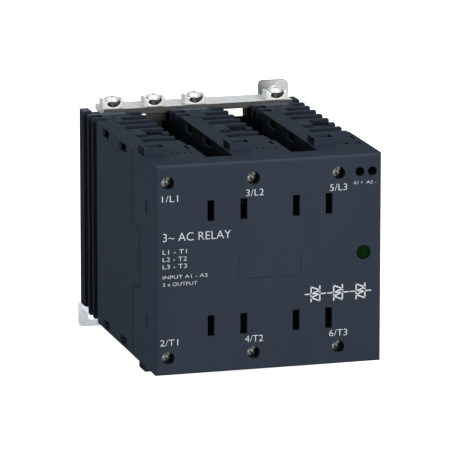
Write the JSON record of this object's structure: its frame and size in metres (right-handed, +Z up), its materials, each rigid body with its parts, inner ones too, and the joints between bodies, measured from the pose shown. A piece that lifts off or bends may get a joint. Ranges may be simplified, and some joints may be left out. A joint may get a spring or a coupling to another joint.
{
  "type": "solid state relay",
  "caption": "Solid state relay of side-by-side phase modules with finned heat sinks, joined by a front cover and steel brackets, with screw terminals and a rail latch.",
  "frame": {"origin": "on the rear edge of the lower bracket's flange, at the relay's mid-width, in the plane that the mounting tabs lie against", "axes": "-Y looks out of the front face with the terminals, +Y is the outward normal of the rear mounting plane, +Z is up, +X is to the right seen from the front"},
  "size_m": [0.109, 0.143, 0.1166],
  "materials": {
    "slate_plastic": "moulded slate-grey plastic with a fine texture",
    "black_anodised": "extruded, black anodised",
    "zinc_steel": "zinc-plated steel",
    "nickel_steel": "nickel-plated steel",
    "dark_steel": "black-coated steel",
    "spring_steel": "spring wire",
    "tinned_copper": "tinned copper",
    "potting": "moulded black epoxy",
    "board": "printed circuit board",
    "capacitor": "boxed film capacitor",
    "green_lens": "dark green lens",
    "led_resin": "light-emitting diode"
  },
  "bodies": {
    "frame": {"front_cover": "slate_plastic", "marker_tag": "slate_plastic", "control_board": "board", "lamp_lens": "green_lens", "status_led": "led_resin", "upper_bracket": "zinc_steel", "lower_bracket": "zinc_steel", "clip_bar": "dark_steel", "rail_plate": "dark_steel", "latch_spring": "spring_steel", "phase_housing_1": "slate_plastic", "heat_sink_1": "black_anodised", "power_module_1": "potting", "driver_board_1": "board", "snubber_capacitor_1": "capacitor", "fixing_screw_1": "nickel_steel", "busbar_l1": "tinned_copper", "busbar_t1": "tinned_copper", "phase_housing_2": "slate_plastic", "heat_sink_2": "black_anodised", "power_module_2": "potting", "driver_board_2": "board", "snubber_capacitor_2": "capacitor", "fixing_screw_2": "nickel_steel", "busbar_l2": "tinned_copper", "busbar_t2": "tinned_copper", "phase_housing_3": "slate_plastic", "heat_sink_3": "black_anodised", "power_module_3": "potting", "driver_board_3": "board", "snubber_capacitor_3": "capacitor", "fixing_screw_3": "nickel_steel", "busbar_l3": "tinned_copper", "busbar_t3": "tinned_copper"},
    "terminal_screw_l1": {"terminal_screw_l1": "nickel_steel"},
    "terminal_cage_l1": {"terminal_cage_l1": "zinc_steel"},
    "terminal_screw_t1": {"terminal_screw_t1": "nickel_steel"},
    "terminal_cage_t1": {"terminal_cage_t1": "zinc_steel"},
    "terminal_screw_l2": {"terminal_screw_l2": "nickel_steel"},
    "terminal_cage_l2": {"terminal_cage_l2": "zinc_steel"},
    "terminal_screw_t2": {"terminal_screw_t2": "nickel_steel"},
    "terminal_cage_t2": {"terminal_cage_t2": "zinc_steel"},
    "terminal_screw_l3": {"terminal_screw_l3": "nickel_steel"},
    "terminal_cage_l3": {"terminal_cage_l3": "zinc_steel"},
    "terminal_screw_t3": {"terminal_screw_t3": "nickel_steel"},
    "terminal_cage_t3": {"terminal_cage_t3": "zinc_steel"},
    "control_screw_1": {"control_screw_1": "nickel_steel"},
    "control_cage_1": {"control_cage_1": "zinc_steel"},
    "control_screw_2": {"control_screw_2": "nickel_steel"},
    "control_cage_2": {"control_cage_2": "zinc_steel"},
    "clamp_saddle_1": {"clamp_saddle_1": "nickel_steel"},
    "clamp_screw_1": {"clamp_screw_1": "nickel_steel"},
    "clamp_saddle_2": {"clamp_saddle_2": "nickel_steel"},
    "clamp_screw_2": {"clamp_screw_2": "nickel_steel"},
    "clamp_saddle_3": {"clamp_saddle_3": "nickel_steel"},
    "clamp_screw_3": {"clamp_screw_3": "nickel_steel"},
    "clamp_saddle_4": {"clamp_saddle_4": "nickel_steel"},
    "clamp_screw_4": {"clamp_screw_4": "nickel_steel"},
    "rail_latch": {"rail_latch": "dark_steel"}
  },
  "joints": [
    {"name": "terminal_cage_l1_slide", "type": "slide", "parent": "frame", "child": "terminal_cage_l1", "axis": [0, -1, 0], "range_m": [0, 0.0065]},
    {"name": "terminal_screw_l1_turn", "type": "hinge", "parent": "frame", "child": "terminal_screw_l1", "pos_m": [-0.0483, -0.1386, 0.09], "axis": [0, 1, 0], "range_deg": [0, 3345]},
    {"name": "terminal_cage_t1_slide", "type": "slide", "parent": "frame", "child": "terminal_cage_t1", "axis": [0, -1, 0], "range_m": [0, 0.0065]},
    {"name": "terminal_screw_t1_turn", "type": "hinge", "parent": "frame", "child": "terminal_screw_t1", "pos_m": [-0.0483, -0.1386, 0.0078], "axis": [0, 1, 0], "range_deg": [0, 3345]},
    {"name": "terminal_cage_l2_slide", "type": "slide", "parent": "frame", "child": "terminal_cage_l2", "axis": [0, -1, 0], "range_m": [0, 0.0065]},
    {"name": "terminal_screw_l2_turn", "type": "hinge", "parent": "frame", "child": "terminal_screw_l2", "pos_m": [-0.0075, -0.1386, 0.09], "axis": [0, 1, 0], "range_deg": [0, 3345]},
    {"name": "terminal_cage_t2_slide", "type": "slide", "parent": "frame", "child": "terminal_cage_t2", "axis": [0, -1, 0], "range_m": [0, 0.0065]},
    {"name": "terminal_screw_t2_turn", "type": "hinge", "parent": "frame", "child": "terminal_screw_t2", "pos_m": [-0.0075, -0.1386, 0.0078], "axis": [0, 1, 0], "range_deg": [0, 3345]},
    {"name": "terminal_cage_l3_slide", "type": "slide", "parent": "frame", "child": "terminal_cage_l3", "axis": [0, -1, 0], "range_m": [0, 0.0065]},
    {"name": "terminal_screw_l3_turn", "type": "hinge", "parent": "frame", "child": "terminal_screw_l3", "pos_m": [0.0333, -0.1386, 0.09], "axis": [0, 1, 0], "range_deg": [0, 3345]},
    {"name": "terminal_cage_t3_slide", "type": "slide", "parent": "frame", "child": "terminal_cage_t3", "axis": [0, -1, 0], "range_m": [0, 0.0065]},
    {"name": "terminal_screw_t3_turn", "type": "hinge", "parent": "frame", "child": "terminal_screw_t3", "pos_m": [0.0333, -0.1386, 0.0078], "axis": [0, 1, 0], "range_deg": [0, 3345]},
    {"name": "control_cage_1_slide", "type": "slide", "parent": "frame", "child": "control_cage_1", "axis": [0, -1, 0], "range_m": [0, 0.0045]},
    {"name": "control_screw_1_turn", "type": "hinge", "parent": "frame", "child": "control_screw_1", "pos_m": [0.0434, -0.1335, 0.09], "axis": [0, 1, 0], "range_deg": [0, 3245]},
    {"name": "control_cage_2_slide", "type": "slide", "parent": "frame", "child": "control_cage_2", "axis": [0, -1, 0], "range_m": [0, 0.0045]},
    {"name": "control_screw_2_turn", "type": "hinge", "parent": "frame", "child": "control_screw_2", "pos_m": [0.0494, -0.1335, 0.09], "axis": [0, 1, 0], "range_deg": [0, 3245]},
    {"name": "clamp_saddle_1_slide", "type": "slide", "parent": "frame", "child": "clamp_saddle_1", "axis": [0, 0, 1], "range_m": [0, 0.003]},
    {"name": "clamp_screw_1_turn", "type": "hinge", "parent": "clamp_saddle_1", "child": "clamp_screw_1", "pos_m": [-0.0405, -0.0128, 0.1028], "axis": [0, 0, 1], "range_deg": [0, 1545]},
    {"name": "clamp_saddle_2_slide", "type": "slide", "parent": "frame", "child": "clamp_saddle_2", "axis": [0, 0, 1], "range_m": [0, 0.003]},
    {"name": "clamp_screw_2_turn", "type": "hinge", "parent": "clamp_saddle_2", "child": "clamp_screw_2", "pos_m": [-0.02, -0.0128, 0.1028], "axis": [0, 0, 1], "range_deg": [0, 1545]},
    {"name": "clamp_saddle_3_slide", "type": "slide", "parent": "frame", "child": "clamp_saddle_3", "axis": [0, 0, 1], "range_m": [0, 0.003]},
    {"name": "clamp_screw_3_turn", "type": "hinge", "parent": "clamp_saddle_3", "child": "clamp_screw_3", "pos_m": [0.0003, -0.0128, 0.1028], "axis": [0, 0, 1], "range_deg": [0, 1545]},
    {"name": "clamp_saddle_4_slide", "type": "slide", "parent": "frame", "child": "clamp_saddle_4", "axis": [0, 0, 1], "range_m": [0, 0.003]},
    {"name": "clamp_screw_4_turn", "type": "hinge", "parent": "clamp_saddle_4", "child": "clamp_screw_4", "pos_m": [0.0411, -0.0128, 0.1028], "axis": [0, 0, 1], "range_deg": [0, 1545]},
    {"name": "rail_latch_slide", "type": "slide", "parent": "frame", "child": "rail_latch", "axis": [0, 0, -1], "range_m": [0, 0.0035], "stiffness_N_per_m": 1500, "springref_m": -0.003, "deforming": ["latch_spring"]}
  ],
  "couplings": [
    {"joint": "terminal_screw_l1_turn", "follows": "terminal_cage_l1_slide", "rad_per_m": 8976},
    {"joint": "terminal_screw_t1_turn", "follows": "terminal_cage_t1_slide", "rad_per_m": 8976},
    {"joint": "terminal_screw_l2_turn", "follows": "terminal_cage_l2_slide", "rad_per_m": 8976},
    {"joint": "terminal_screw_t2_turn", "follows": "terminal_cage_t2_slide", "rad_per_m": 8976},
    {"joint": "terminal_screw_l3_turn", "follows": "terminal_cage_l3_slide", "rad_per_m": 8976},
    {"joint": "terminal_screw_t3_turn", "follows": "terminal_cage_t3_slide", "rad_per_m": 8976},
    {"joint": "control_screw_1_turn", "follows": "control_cage_1_slide", "rad_per_m": 12566},
    {"joint": "control_screw_2_turn", "follows": "control_cage_2_slide", "rad_per_m": 12566},
    {"joint": "clamp_screw_1_turn", "follows": "clamp_saddle_1_slide", "rad_per_m": 8976},
    {"joint": "clamp_screw_2_turn", "follows": "clamp_saddle_2_slide", "rad_per_m": 8976},
    {"joint": "clamp_screw_3_turn", "follows": "clamp_saddle_3_slide", "rad_per_m": 8976},
    {"joint": "clamp_screw_4_turn", "follows": "clamp_saddle_4_slide", "rad_per_m": 8976}
  ]
}
